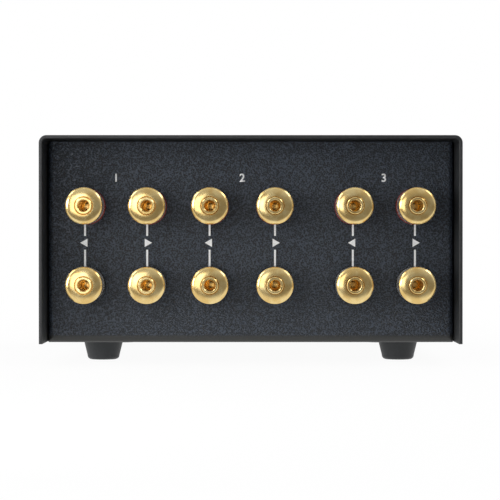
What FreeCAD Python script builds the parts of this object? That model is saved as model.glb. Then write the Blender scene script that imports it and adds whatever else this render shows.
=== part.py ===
import FreeCAD, Part
import math
import os

os.makedirs("parts", exist_ok=True)

Vector = FreeCAD.Vector

# Millimetres, +Z up. The dial faces -Y and the connector panel faces +Y.

# Case
case_width = 150.0
case_height = 74.25
cover_length = 172.0
sheet = 1.2
cover_corner = 2.7
cover_lift = 0.25
rim_rounding = 0.3
sheet_gap = 0.3
bend_radius = 2.0
side_bend_radius = 0.3
panel_recess = 17.0
flange_height = 18.0
return_depth = 13.0
window_corner = 3.0
front_thickness = 4.0
front_chamfer = 0.6

# Feet
foot_height = 7.45
foot_top_radius = 7.45
foot_end_radius = 5.6
foot_rounding = 1.5
foot_x = 55.1
foot_rear_setback = 24.0
foot_front_setback = 10.0
foot_recess_radius = 3.6
foot_recess_depth = 4.2

# Screws, all of one thread
screw_radius = 1.5
screw_clearance = 0.1
screw_head_radius = 2.75
screw_head_height = 1.9
screw_slot_width = 0.8
screw_slot_depth = 0.9
cover_screw_height = 10.0
cover_screw_setback = 30.0
cover_screw_length = 6.0
foot_screw_stand = 3.0
panel_screw_x = 62.0
panel_screw_edge = 11.0
panel_screw_bite = 2.8

# Binding posts, seen from the dial side: x of each column, z of each row above the tray
post_columns = (59.1, 36.9, 14.5, -8.6, -36.9, -59.0)
post_rows = {"top": 49.25, "bottom": 21.05}
stud_radius = 3.0
stud_length = 19.0
stud_inside = 9.0
stud_chamfer = 0.25
collar_radius = 5.6
collar_thickness = 2.0
socket_radius = 2.0
socket_depth = 16.0
socket_lead = 0.3
socket_cone = 1.2
wire_hole_radius = 1.5
wire_hole_height = 6.5
insulator_radius = 6.6
insulator_thickness = 2.0
shoulder_radius = 3.95
panel_hole_radius = 4.0
post_gap = 0.05
inner_insulator_radius = 6.0
inner_insulator_thickness = 1.6
washer_thickness = 0.8
cap_length = 13.7
cap_head_radius = 6.55
cap_head_length = 4.7
cap_edge = 0.3
cap_face_tilt = 3.0
cap_face_radius = 8.0
cap_rim_tilt = 18.0
cap_rim_end_tilt = 50.0
cap_rim_edge = 0.15
cap_body_radius = 5.2
sleeve_radius = 6.5
sleeve_start = 0.3
lug_thickness = 0.6
lug_ring_radius = 5.2
lug_reach = 9.0
lug_width = 3.2
nut_flats = 10.0
nut_thickness = 2.8
thread_gap = 0.02

# Hook-up wires
wire_radius = 0.8
wire_offset = 7.4
wire_lead = 8.0
wire_bend_radius = 9.0
wire_spread = 74.0

# Rotary switch
shaft_radius = 3.0
shaft_flat = 2.5
shaft_gap = 0.05
plate_size = 30.0
plate_thickness = 1.6
plate_corner = 4.0
bushing_radius = 4.5
bushing_stand = 3.2
bushing_hole_gap = 0.2
switch_nut_flats = 12.0
switch_nut_thickness = 2.2
index_start = 4.6
index_thickness = 1.5
index_radius = 9.0
index_notches = 12
index_notch_radius = 1.2
index_notch_depth = 0.5
spring_gap = 0.3
spring_thickness = 0.6
spring_width = 3.0
spring_post_x = 10.5
wafer_radius = 16.5
wafer_thickness = 1.6
wafer_hole_radius = 6.9
wafer_starts = (12.4, 26.4)
rotor_radius = 6.6
contact_thickness = 0.5
contact_width = 2.0
contact_inner = 4.9
contact_outer = 20.4
terminal_radius = 19.0
terminal_step = 30.0
terminal_first = 15.0
tie_radius = 1.0
tie_x = 13.8
spacer_radius = 1.6
tie_nut_flats = 4.0
tie_nut_thickness = 2.0
tie_end = 1.0
shaft_tail = 3.0

# Dial knob
knob_radius = 17.0
knob_length = 18.0
knob_gap = 0.8
knob_edge = 1.2
knob_grooves = 48
knob_groove_radius = 0.55
knob_groove_start = 3.0
knob_groove_end = 3.4
knob_recess_radius = 9.5
knob_recess_depth = 5.0
knob_face_radius = 13.5
knob_face_depth = 0.6
knob_wall = 4.0
pointer_width = 1.4
pointer_depth = 0.7
grub_length = 9.0
grub_hex = 1.5
grub_hex_depth = 1.6

# Places that follow from the sizes above
half_width = case_width / 2
tray_bottom = foot_height
cover_bottom = tray_bottom + cover_lift
cover_top = tray_bottom + case_height
cover_inside = half_width - sheet
tray_half = cover_inside - sheet_gap
tray_top = cover_top - sheet - sheet_gap
floor_top = tray_bottom + sheet

post_tip = stud_length - panel_recess
knob_reach = front_thickness + knob_gap + knob_length
total_length = cover_length + post_tip + knob_reach
cover_rear = total_length / 2 - post_tip
panel_face = cover_rear - panel_recess
cover_front = cover_rear - cover_length
front_face = cover_front - front_thickness
subpanel_inside = cover_front + sheet
rear_panel_inside = panel_face - sheet

washer_start = insulator_thickness + collar_thickness
cap_start = washer_start + washer_thickness
cap_end = cap_start + cap_length
post_bore = stud_radius + post_gap
inner_insulator_end = -sheet - inner_insulator_thickness
lug_end = inner_insulator_end - lug_thickness
nut_end = lug_end - nut_thickness

dial_height = tray_bottom + case_height / 2
plate_end = subpanel_inside + plate_thickness
wafer_planes = tuple(subpanel_inside + start for start in wafer_starts)
tie_nut_start = wafer_planes[-1] + wafer_thickness
knob_rear = front_face - knob_gap
knob_front = knob_rear - knob_length
knob_bore_end = knob_front + knob_wall
bushing_end = front_face - bushing_stand


def rod_y(x, z, radius, y_low, y_high):
    """Round bar along Y."""
    return Part.makeCylinder(
        radius, y_high - y_low, Vector(x, y_low, z), Vector(0, 1, 0)
    )


def rod_z(x, y, radius, z_low, z_high):
    """Round bar along Z."""
    return Part.makeCylinder(radius, z_high - z_low, Vector(x, y, z_low))


def ring_y(x, z, inner, outer, y_low, y_high):
    """Flat ring around a line along Y."""
    return rod_y(x, z, outer, y_low, y_high).cut(
        rod_y(x, z, inner, y_low - 1, y_high + 1)
    )


def block(x_low, x_high, y_low, y_high, z_low, z_high):
    """Box between six planes."""
    return Part.makeBox(
        x_high - x_low, y_high - y_low, z_high - z_low, Vector(x_low, y_low, z_low)
    )


def hexagon_y(x, z, flats, y_low, y_high):
    """Hexagonal bar along Y with two corners up and down."""
    corner = flats / math.sqrt(3)
    points = [
        Vector(
            x + corner * math.sin(math.radians(60 * i)),
            y_low,
            z + corner * math.cos(math.radians(60 * i)),
        )
        for i in range(7)
    ]
    face = Part.Face(Part.makePolygon(points))
    return face.extrude(Vector(0, y_high - y_low, 0))


def edges_along(shape, direction, places):
    """Edges parallel to a direction whose middle passes the test."""
    found = []
    for edge in shape.Edges:
        first = edge.Vertexes[0].Point
        last = edge.Vertexes[-1].Point
        run = last.sub(first)
        if run.Length < 1e-6:
            continue
        run.normalize()
        middle = edge.valueAt((edge.FirstParameter + edge.LastParameter) / 2)
        if abs(abs(run.dot(direction)) - 1) < 1e-6 and places(middle):
            found.append(edge)
    return found


def rounded_slab_y(half, z_low, z_high, y_low, y_high, radius):
    """Slab across the case with its four long edges rounded."""
    slab = block(-half, half, y_low, y_high, z_low, z_high)
    edges = edges_along(slab, Vector(0, 1, 0), lambda middle: True)
    return slab.makeFillet(radius, edges)


def turned(edges, x, z):
    """Solid of revolution around a line along Y from edges drawn in the plane z = 0."""
    face = Part.Face(Part.Wire(edges))
    solid = face.revolve(Vector(0, 0, 0), Vector(0, 1, 0), 360)
    if solid.Volume < 0:
        solid.reverse()
    solid.translate(Vector(x, 0, z))
    return solid


def chain(points):
    """Closed run of straight edges, or of an arc where three points are given as one item."""
    edges = []
    last = points[0]
    for item in points[1:] + [points[0]]:
        if isinstance(item, tuple):
            middle, end = item
            edges.append(Part.Arc(last, middle, end).toShape())
            last = end
        else:
            edges.append(Part.LineSegment(last, item).toShape())
            last = item
    return edges


def save(name, solids):
    """Write one node."""
    shape = solids[0] if len(solids) == 1 else Part.makeCompound(solids)
    shape.exportStep(os.path.join("parts", name + ".step"))


def post_places():
    """Name, x and z of each binding post."""
    return [
        (f"{row}_{column + 1}", row, x, tray_bottom + height)
        for row, height in post_rows.items()
        for column, x in enumerate(post_columns)
    ]


def terminal_place(row, column):
    """x and z where the wire of one post meets the switch."""
    angle = math.radians(terminal_first + terminal_step * column)
    side = 1 if row == "top" else -1
    return (
        terminal_radius * math.cos(angle),
        dial_height + side * terminal_radius * math.sin(angle),
    )


def cover_screw_places():
    """Side and y of each screw through the cover."""
    return [
        (side, y)
        for side in (-1, 1)
        for y in (
            cover_front + cover_screw_setback,
            panel_face - cover_screw_setback,
        )
    ]


def foot_places():
    """x and y of each foot."""
    return [
        (side * foot_x, y)
        for side in (-1, 1)
        for y in (panel_face - foot_rear_setback, cover_front + foot_front_setback)
    ]


def panel_screw_places():
    """x and z of each screw between tray and front panel."""
    return [
        (side * panel_screw_x, z)
        for side in (-1, 1)
        for z in (tray_bottom + panel_screw_edge, cover_top - panel_screw_edge)
    ]


def make_top_cover():
    """Sheet bent over the top and down both sides, with four countersunk holes."""
    outer = block(-half_width, half_width, cover_front, cover_rear, cover_bottom, cover_top)
    edges = edges_along(outer, Vector(0, 1, 0), lambda middle: middle.z > dial_height)
    outer = outer.makeFillet(cover_corner, edges)
    inner = block(
        -cover_inside,
        cover_inside,
        cover_front - 1,
        cover_rear + 1,
        cover_bottom - 1,
        cover_top - sheet,
    )
    edges = edges_along(inner, Vector(0, 1, 0), lambda middle: middle.z > dial_height)
    cover = outer.cut(inner.makeFillet(cover_corner - sheet, edges))
    rim = [
        edge
        for edge in cover.Edges
        if edge.BoundBox.YMin > cover_rear - 0.01
        and edge.BoundBox.ZMax > cover_bottom + 0.01
    ]
    cover = cover.makeFillet(rim_rounding, rim)
    for side, y in cover_screw_places():
        start = Vector(side * half_width, y, tray_bottom + cover_screw_height)
        sink = Part.makeCone(
            screw_head_radius,
            screw_radius + screw_clearance,
            sheet,
            start,
            Vector(-side, 0, 0),
        )
        cover = cover.cut(sink)
    return cover


def tray_shell(inset, top):
    """Tray block, drawn in by an inset; its bends are round, the long lower ones tight."""
    half = tray_half - inset
    shell = block(
        -half,
        half,
        cover_front + inset,
        panel_face - inset,
        tray_bottom + inset,
        top,
    )
    if inset < side_bend_radius:
        sides = edges_along(
            shell, Vector(0, 1, 0), lambda middle: middle.z < dial_height
        )
        shell = shell.makeFillet(side_bend_radius - inset, sides)
    upright = edges_along(shell, Vector(0, 0, 1), lambda middle: True)
    lower = edges_along(shell, Vector(1, 0, 0), lambda middle: middle.z < dial_height)
    return shell.makeFillet(bend_radius - inset, upright + lower)


def make_chassis_tray():
    """Folded tray: floor, connector panel, inner front panel and low side walls."""
    tray = tray_shell(0, tray_top).cut(tray_shell(sheet, tray_top + 5))
    room = block(
        -tray_half, tray_half, cover_front, panel_face, tray_bottom, tray_top
    )
    edges = edges_along(room, Vector(0, 1, 0), lambda middle: middle.z > dial_height)
    tray = tray.common(room.makeFillet(cover_corner - sheet - sheet_gap, edges))
    window = block(
        -half_width,
        half_width,
        cover_front + return_depth,
        panel_face - return_depth,
        tray_bottom + flange_height,
        tray_top + 5,
    )
    edges = edges_along(
        window, Vector(1, 0, 0), lambda middle: middle.z < dial_height
    )
    tray = tray.cut(window.makeFillet(window_corner, edges))
    for name, row, x, z in post_places():
        tray = tray.cut(
            rod_y(x, z, panel_hole_radius, rear_panel_inside - 1, panel_face + 1)
        )
    tray = tray.cut(
        rod_y(
            0,
            dial_height,
            bushing_radius + bushing_hole_gap,
            cover_front - 1,
            subpanel_inside + 1,
        )
    )
    for x, z in panel_screw_places():
        tray = tray.cut(
            rod_y(
                x,
                z,
                screw_radius + screw_clearance,
                cover_front - 1,
                subpanel_inside + 1,
            )
        )
    for x, y in foot_places():
        tray = tray.cut(rod_z(x, y, screw_radius, tray_bottom - 1, floor_top + 1))
    for side, y in cover_screw_places():
        hole = Part.makeCylinder(
            screw_radius,
            10,
            Vector(side * (tray_half + 2), y, tray_bottom + cover_screw_height),
            Vector(-side, 0, 0),
        )
        tray = tray.cut(hole)
    return tray


def make_front_panel():
    """Thick dial panel with a bevelled face, a hole for the bushing and four blind holes."""
    panel = rounded_slab_y(
        half_width, tray_bottom, cover_top, front_face, cover_front, cover_corner
    )
    rim = [
        edge
        for edge in panel.Edges
        if all(abs(vertex.Y - front_face) < 1e-6 for vertex in edge.Vertexes)
    ]
    panel = panel.makeChamfer(front_chamfer, rim)
    panel = panel.cut(
        rod_y(
            0,
            dial_height,
            bushing_radius + bushing_hole_gap,
            front_face - 1,
            cover_front + 1,
        )
    )
    for x, z in panel_screw_places():
        panel = panel.cut(
            rod_y(x, z, screw_radius, cover_front - panel_screw_bite, cover_front + 1)
        )
    return panel


def make_foot(x, y):
    """Tapered rubber foot with a hollow for its screw."""
    slope = (foot_top_radius - foot_end_radius) / foot_height
    shoulder = foot_end_radius + slope * foot_rounding
    diagonal = foot_rounding * (1 - math.sqrt(0.5))
    outline = chain(
        [
            Vector(0, foot_height, 0),
            Vector(foot_top_radius, foot_height, 0),
            Vector(shoulder, foot_rounding, 0),
            (
                Vector(shoulder - diagonal, diagonal, 0),
                Vector(shoulder - foot_rounding, 0, 0),
            ),
            Vector(0, 0, 0),
        ]
    )
    foot = turned(outline, 0, 0)
    foot.rotate(Vector(0, 0, 0), Vector(1, 0, 0), 90)
    foot.translate(Vector(x, y, 0))
    foot = foot.cut(rod_z(x, y, foot_recess_radius, -1, foot_recess_depth))
    return foot.cut(
        rod_z(x, y, screw_radius + screw_clearance, 0, foot_height + 1)
    )


def screw_along(start, direction, length, cross_way):
    """Pan-head screw: the head stands behind the start and the shank runs on from it."""
    back = Vector(direction).multiply(-screw_head_height)
    head = Part.makeCylinder(
        screw_head_radius, screw_head_height, start.add(back), direction
    )
    rim = [
        edge
        for edge in head.Edges
        if edge.Closed and abs(edge.CenterOfMass.sub(start).Length - screw_head_height) < 1e-6
    ]
    head = head.makeFillet(0.6, rim)
    screw = head.fuse(Part.makeCylinder(screw_radius, length, start, direction))
    return screw.removeSplitter().cut(cross_slot(start.add(back), direction, cross_way))


def cross_slot(top, direction, cross_way):
    """Two crossed slots sunk into a screw head."""
    reach = screw_head_radius * 0.62
    arms = []
    for way in (cross_way, direction.cross(cross_way)):
        other = direction.cross(way)
        corner = (
            top.sub(Vector(way).multiply(reach))
            .sub(Vector(other).multiply(screw_slot_width / 2))
            .sub(Vector(direction).multiply(1))
        )
        wire = Part.makePolygon(
            [
                corner,
                corner.add(Vector(way).multiply(2 * reach)),
                corner.add(Vector(way).multiply(2 * reach)).add(
                    Vector(other).multiply(screw_slot_width)
                ),
                corner.add(Vector(other).multiply(screw_slot_width)),
                corner,
            ]
        )
        arms.append(
            Part.Face(wire).extrude(Vector(direction).multiply(1 + screw_slot_depth))
        )
    return arms[0].fuse(arms[1])


def make_cover_screws():
    """Countersunk screws, flush with the sides of the cover."""
    screws = []
    for side, y in cover_screw_places():
        inward = Vector(-side, 0, 0)
        start = Vector(side * half_width, y, tray_bottom + cover_screw_height)
        head = Part.makeCone(screw_head_radius, screw_radius, sheet, start, inward)
        shank = Part.makeCylinder(screw_radius, cover_screw_length, start, inward)
        screw = head.fuse(shank).removeSplitter()
        screws.append(screw.cut(cross_slot(start, inward, Vector(0, 0, 1))))
    return screws


def make_chassis_screws():
    """Screws that hold the feet and the front panel."""
    up = Vector(0, 0, 1)
    foot_length = foot_height - foot_recess_depth + sheet + foot_screw_stand
    screws = [
        screw_along(Vector(x, y, foot_recess_depth), up, foot_length, Vector(1, 0, 0))
        for x, y in foot_places()
    ]
    screws += [
        screw_along(
            Vector(x, subpanel_inside, z),
            Vector(0, -1, 0),
            sheet + panel_screw_bite - screw_clearance,
            Vector(0, 0, 1),
        )
        for x, z in panel_screw_places()
    ]
    return screws


def make_post_stud(x, z):
    """Threaded stud with a collar, a plug socket from the end and a wire hole across it."""
    tip = panel_face + stud_length
    collar_low = panel_face + insulator_thickness
    stud = rod_y(x, z, stud_radius, panel_face - stud_inside, tip)
    ends = [edge for edge in stud.Edges if edge.Closed]
    stud = stud.makeChamfer(stud_chamfer, ends)
    stud = stud.fuse(
        rod_y(x, z, collar_radius, collar_low, collar_low + collar_thickness)
    )
    stud = stud.cut(rod_y(x, z, socket_radius, tip - socket_depth, tip + 1))
    stud = stud.cut(
        Part.makeCone(
            socket_radius,
            socket_radius + socket_lead,
            socket_lead,
            Vector(x, tip - socket_lead, z),
            Vector(0, 1, 0),
        )
    )
    stud = stud.cut(
        Part.makeCone(
            0,
            socket_radius,
            socket_cone,
            Vector(x, tip - socket_depth - socket_cone, z),
            Vector(0, 1, 0),
        )
    )
    y = panel_face + wire_hole_height
    return stud.cut(
        rod_z(x, y, wire_hole_radius, z - stud_radius - 1, z + stud_radius + 1)
    )


def make_insulators(x, z):
    """Outer ring with a shoulder in the panel hole, and the flat ring inside."""
    outer_high = panel_face + insulator_thickness
    outer = rod_y(x, z, insulator_radius, panel_face, outer_high)
    rim = [
        edge
        for edge in outer.Edges
        if edge.Closed and abs(edge.CenterOfMass.y - outer_high) < 1e-6
    ]
    outer = outer.makeFillet(0.4, rim)
    outer = outer.fuse(rod_y(x, z, shoulder_radius, rear_panel_inside, panel_face))
    outer = outer.cut(rod_y(x, z, post_bore, rear_panel_inside - 1, outer_high + 1))
    inner = ring_y(
        x,
        z,
        post_bore,
        inner_insulator_radius,
        panel_face + inner_insulator_end,
        rear_panel_inside,
    )
    return [outer, inner]


def make_clamp_washer(x, z):
    """Loose ring that the cap presses on the wire."""
    low = panel_face + washer_start
    return ring_y(x, z, post_bore, collar_radius, low, low + washer_thickness)


def tilt_point(centre, radius, tilt):
    """Point of a round profile where its normal leans out from the axis by a tilt."""
    return centre.add(Vector(radius * math.sin(tilt), radius * math.cos(tilt), 0))


def make_cap_core(x, z):
    """Turned cap: a slim body and a wider head with a crowned face and a sloping rim."""
    start = panel_face + cap_start
    end = panel_face + cap_end
    head = end - cap_head_length
    face_tilt = math.radians(cap_face_tilt)
    rim_tilt = math.radians(cap_rim_tilt)
    face_inner = Vector(post_bore + cap_edge, end, 0)
    face_centre = face_inner.sub(tilt_point(Vector(), cap_face_radius, face_tilt))
    face_outer = tilt_point(face_centre, cap_face_radius, rim_tilt)
    end_tilt = math.radians(cap_rim_end_tilt)
    rim_width = cap_head_radius - cap_rim_edge - face_outer.x
    rim_radius = rim_width / (math.sin(end_tilt) - math.sin(rim_tilt))
    rim_centre = face_outer.sub(tilt_point(Vector(), rim_radius, rim_tilt))
    rim_end = tilt_point(rim_centre, rim_radius, end_tilt)
    outline = chain(
        [
            Vector(post_bore, start, 0),
            Vector(cap_body_radius, start, 0),
            Vector(cap_body_radius, head, 0),
            Vector(cap_head_radius - cap_edge, head, 0),
            Vector(cap_head_radius, head + cap_edge, 0),
            Vector(cap_head_radius, rim_end.y - cap_rim_edge, 0),
            rim_end,
            (
                tilt_point(rim_centre, rim_radius, (rim_tilt + end_tilt) / 2),
                face_outer,
            ),
            (
                tilt_point(face_centre, cap_face_radius, (face_tilt + rim_tilt) / 2),
                face_inner,
            ),
            Vector(post_bore, end - cap_edge, 0),
        ]
    )
    return turned(outline, x, z)


def make_cap_sleeve(x, z):
    """Clear tube over the slim body of a cap."""
    low = panel_face + cap_start + sleeve_start
    high = panel_face + cap_end - cap_head_length
    return ring_y(x, z, cap_body_radius + post_gap, sleeve_radius, low, high)


def make_solder_lug(x, z, side):
    """Ring tag with a tongue that points away from the other row."""
    low = panel_face + lug_end
    high = panel_face + inner_insulator_end
    ring = rod_y(x, z, lug_ring_radius, low, high)
    far = z + side * lug_reach
    tongue = block(
        x - lug_width / 2, x + lug_width / 2, low, high, min(z, far), max(z, far)
    )
    return ring.fuse(tongue).cut(rod_y(x, z, post_bore, low - 1, high + 1))


def make_post_nut(x, z):
    """Hexagon nut on the inner end of a stud."""
    low = panel_face + nut_end
    high = panel_face + lug_end
    return hexagon_y(x, z, nut_flats, low, high).cut(
        rod_y(x, z, stud_radius + thread_gap, low - 1, high + 1)
    )


def make_wire(x, z, row, column):
    """Insulated wire from a solder lug to its switch terminal, straight at both ends."""
    side = 1 if row == "top" else -1
    along = Vector(0, -1, 0)
    start = Vector(x, panel_face + lug_end, z + side * wire_offset)
    end_x, end_z = terminal_place(row, column)
    plane = wafer_planes[column % 2] + wafer_thickness + contact_thickness
    end = Vector(end_x, plane, end_z)
    across = Vector(end.x - start.x, 0, end.z - start.z)
    reach = across.Length
    across.normalize()
    rest = reach - 2 * wire_bend_radius
    angle = math.atan2(rest, wire_spread) + math.asin(
        2 * wire_bend_radius / math.hypot(rest, wire_spread)
    )
    slope_length = (wire_spread - 2 * wire_bend_radius * math.sin(angle)) / math.cos(
        angle
    )

    def bend(turn):
        return (
            Vector(along)
            .multiply(wire_bend_radius * math.sin(turn))
            .add(Vector(across).multiply(wire_bend_radius * (1 - math.cos(turn))))
        )

    slope = (
        Vector(along)
        .multiply(math.cos(angle))
        .add(Vector(across).multiply(math.sin(angle)))
    )
    first = start.add(Vector(along).multiply(wire_lead))
    second = first.add(bend(angle))
    third = second.add(Vector(slope).multiply(slope_length))
    fourth = third.add(bend(angle))
    path = Part.Wire(
        [
            Part.LineSegment(start, first).toShape(),
            Part.Arc(first, first.add(bend(angle / 2)), second).toShape(),
            Part.LineSegment(second, third).toShape(),
            Part.Arc(third, fourth.sub(bend(angle / 2)), fourth).toShape(),
            Part.LineSegment(fourth, end).toShape(),
        ]
    )
    ring = Part.Wire([Part.Circle(start, along, wire_radius).toShape()])
    return path.makePipeShell([ring], True, True)


def d_bar(radius, flat, y_low, y_high):
    """Bar on the dial axis with a flat underside."""
    bar = rod_y(0, dial_height, radius, y_low, y_high)
    return bar.cut(
        block(
            -radius - 1,
            radius + 1,
            y_low - 1,
            y_high + 1,
            dial_height - radius - 1,
            dial_height - flat,
        )
    )


def make_switch_bushing():
    """Square plate with the round bushing that carries the shaft."""
    half = plate_size / 2
    plate = rounded_slab_y(
        half,
        dial_height - half,
        dial_height + half,
        subpanel_inside,
        plate_end,
        plate_corner,
    )
    body = plate.fuse(
        rod_y(0, dial_height, bushing_radius, bushing_end, subpanel_inside)
    )
    body = body.cut(
        rod_y(0, dial_height, shaft_radius + shaft_gap, bushing_end - 1, plate_end + 1)
    )
    for side in (-1, 1):
        body = body.cut(
            rod_y(
                side * tie_x,
                dial_height,
                tie_radius,
                subpanel_inside - 1,
                plate_end + 1,
            )
        )
    return body


def make_switch_nut():
    """Nut that clamps the bushing to the front panel."""
    low = front_face - switch_nut_thickness
    return hexagon_y(0, dial_height, switch_nut_flats, low, front_face).cut(
        rod_y(0, dial_height, bushing_radius + thread_gap, low - 1, front_face + 1)
    )


def make_switch_wafer(plane):
    """Insulating disc with a round window for its rotor."""
    end = plane + wafer_thickness
    wafer = ring_y(0, dial_height, wafer_hole_radius, wafer_radius, plane, end)
    for side in (-1, 1):
        wafer = wafer.cut(
            rod_y(side * tie_x, dial_height, tie_radius, plane - 1, end + 1)
        )
    return wafer


def make_switch_contact(row, column):
    """Flat contact from the rotor out to the wire end."""
    plane = wafer_planes[column % 2] + wafer_thickness
    contact = block(
        contact_inner,
        contact_outer,
        plane,
        plane + contact_thickness,
        -contact_width / 2,
        contact_width / 2,
    )
    side = 1 if row == "top" else -1
    angle = side * (terminal_first + terminal_step * column)
    contact.rotate(Vector(0, 0, 0), Vector(0, -1, 0), angle)
    contact.translate(Vector(0, 0, dial_height))
    return contact


def make_switch_ties():
    """Long tie rods with their nuts, and the tubes that space the discs."""
    solids = []
    ends = [plate_end]
    for plane in wafer_planes:
        ends += [plane, plane + wafer_thickness]
    for side in (-1, 1):
        x = side * tie_x
        rod_end = tie_nut_start + tie_nut_thickness + tie_end
        solids.append(rod_y(x, dial_height, tie_radius, subpanel_inside, rod_end))
        for low, high in zip(ends[0::2], ends[1::2]):
            solids.append(
                ring_y(x, dial_height, tie_radius + thread_gap, spacer_radius, low, high)
            )
        nut_high = tie_nut_start + tie_nut_thickness
        solids.append(
            hexagon_y(x, dial_height, tie_nut_flats, tie_nut_start, nut_high).cut(
                rod_y(
                    x,
                    dial_height,
                    tie_radius + thread_gap,
                    tie_nut_start - 1,
                    nut_high + 1,
                )
            )
        )
    return solids


def make_index_plate():
    """Star wheel on the shaft that gives the dial its clicks."""
    low = subpanel_inside + index_start
    high = low + index_thickness
    wheel = rod_y(0, dial_height, index_radius, low, high)
    centre = index_radius + index_notch_radius - index_notch_depth
    for i in range(index_notches):
        angle = 2 * math.pi * i / index_notches
        wheel = wheel.cut(
            rod_y(
                centre * math.sin(angle),
                dial_height + centre * math.cos(angle),
                index_notch_radius,
                low - 1,
                high + 1,
            )
        )
    return wheel.cut(
        d_bar(shaft_radius + thread_gap, shaft_flat + thread_gap, low - 1, high + 1)
    )


def make_detent_spring():
    """Leaf spring above the star wheel, on two feet that stand on the plate."""
    low = subpanel_inside + index_start - (spring_width - index_thickness) / 2
    high = low + spring_width
    under = dial_height + index_radius + spring_gap
    leaf = block(
        -spring_post_x, spring_post_x, low, high, under, under + spring_thickness
    )
    for side in (-1, 1):
        inner = side * (spring_post_x - spring_width)
        outer = side * spring_post_x
        leaf = leaf.fuse(
            block(
                min(inner, outer),
                max(inner, outer),
                plate_end,
                high,
                under,
                under + spring_thickness,
            )
        )
    return leaf.removeSplitter()


def make_switch_rotor(plane):
    """Insulating disc that turns in its window."""
    end = plane + wafer_thickness
    return rod_y(0, dial_height, rotor_radius, plane, end).cut(
        d_bar(shaft_radius + thread_gap, shaft_flat + thread_gap, plane - 1, end + 1)
    )


def make_switch_shaft():
    """Shaft from the knob to the far disc, flat below in the knob and in the switch."""
    tail = wafer_planes[-1] + wafer_thickness + shaft_tail
    middle = rod_y(0, dial_height, shaft_radius, bushing_end - 1, plate_end + 1)
    nose = d_bar(shaft_radius, shaft_flat, knob_bore_end, bushing_end - 1)
    rear = d_bar(shaft_radius, shaft_flat, plate_end + 1, tail)
    return nose.fuse(middle).fuse(rear).removeSplitter()


def make_dial_knob():
    """Grooved knob with a dished face, a pointer slot and a hollow for the nut."""
    knob = rod_y(0, dial_height, knob_radius, knob_front, knob_rear)
    rims = [edge for edge in knob.Edges if edge.Closed]
    knob = knob.makeChamfer(knob_edge, rims)
    knob = knob.cut(
        rod_y(
            0,
            dial_height,
            knob_face_radius,
            knob_front - 1,
            knob_front + knob_face_depth,
        )
    )
    grooves = []
    for i in range(knob_grooves):
        angle = 2 * math.pi * (i + 0.5) / knob_grooves
        grooves.append(
            rod_y(
                knob_radius * math.sin(angle),
                dial_height + knob_radius * math.cos(angle),
                knob_groove_radius,
                knob_front + knob_groove_start,
                knob_rear - knob_groove_end,
            )
        )
    knob = knob.cut(Part.makeCompound(grooves))
    knob = knob.cut(
        block(
            -pointer_width / 2,
            pointer_width / 2,
            knob_front - 1,
            knob_front + knob_face_depth + pointer_depth,
            dial_height + knob_radius * 0.42,
            dial_height + knob_radius + 1,
        )
    )
    knob = knob.cut(
        rod_y(
            0,
            dial_height,
            knob_recess_radius,
            knob_rear - knob_recess_depth,
            knob_rear + 1,
        )
    )
    knob = knob.cut(
        rod_y(0, dial_height, shaft_radius + thread_gap, knob_bore_end, knob_rear)
    )
    return knob.cut(
        rod_z(
            0,
            grub_y(),
            screw_radius,
            dial_height - knob_radius - 1,
            dial_height,
        )
    )


def grub_y():
    """Where the grub screw crosses the knob, halfway along its bore."""
    return (knob_bore_end + knob_rear - knob_recess_depth) / 2


def make_grub_screw():
    """Headless screw with a hexagon socket, tight on the shaft's flat."""
    high = dial_height - shaft_flat
    low = high - grub_length
    screw = rod_z(0, grub_y(), screw_radius - thread_gap, low, high)
    socket = hexagon_y(0, 0, grub_hex, -1, grub_hex_depth)
    socket.rotate(Vector(0, 0, 0), Vector(1, 0, 0), 90)
    socket.translate(Vector(0, grub_y(), low))
    return screw.cut(socket)


def main():
    """Build every node and write it."""
    posts = post_places()
    rows = {"top": 1, "bottom": -1}
    save("top_cover", [make_top_cover()])
    save("chassis_tray", [make_chassis_tray()])
    save("front_panel", [make_front_panel()])
    save("rubber_feet", [make_foot(x, y) for x, y in foot_places()])
    save("cover_screws", make_cover_screws())
    save("chassis_screws", make_chassis_screws())
    save("post_studs", [make_post_stud(x, z) for name, row, x, z in posts])
    for colour, wanted in (("red", "top"), ("black", "bottom")):
        rings = []
        wires = []
        for column, x in enumerate(post_columns):
            z = tray_bottom + post_rows[wanted]
            rings += make_insulators(x, z)
            wires.append(make_wire(x, z, wanted, column))
        save(colour + "_insulators", rings)
        save(colour + "_wires", wires)
    save("solder_lugs", [make_solder_lug(x, z, rows[row]) for name, row, x, z in posts])
    save("post_nuts", [make_post_nut(x, z) for name, row, x, z in posts])
    for name, row, x, z in posts:
        save("clamp_washer_" + name, [make_clamp_washer(x, z)])
        save("cap_core_" + name, [make_cap_core(x, z)])
        save("cap_sleeve_" + name, [make_cap_sleeve(x, z)])
    save("switch_bushing", [make_switch_bushing()])
    save("switch_nut", [make_switch_nut()])
    save("switch_wafers", [make_switch_wafer(plane) for plane in wafer_planes])
    save(
        "switch_contacts",
        [
            make_switch_contact(row, column)
            for row in post_rows
            for column in range(len(post_columns))
        ],
    )
    save("switch_ties", make_switch_ties())
    save("index_plate", [make_index_plate()])
    save("detent_spring", [make_detent_spring()])
    save("switch_rotors", [make_switch_rotor(plane) for plane in wafer_planes])
    save("switch_shaft", [make_switch_shaft()])
    save("dial_knob", [make_dial_knob()])
    save("grub_screw", [make_grub_screw()])


main()
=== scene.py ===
"""Looks of a speaker selector switch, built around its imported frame."""

from __future__ import annotations

import logging
import math
from collections.abc import Iterable, Mapping
from dataclasses import dataclass, field
from enum import Enum
from typing import Any

import bmesh
import bpy
from mathutils import Euler, Matrix, Vector

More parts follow.
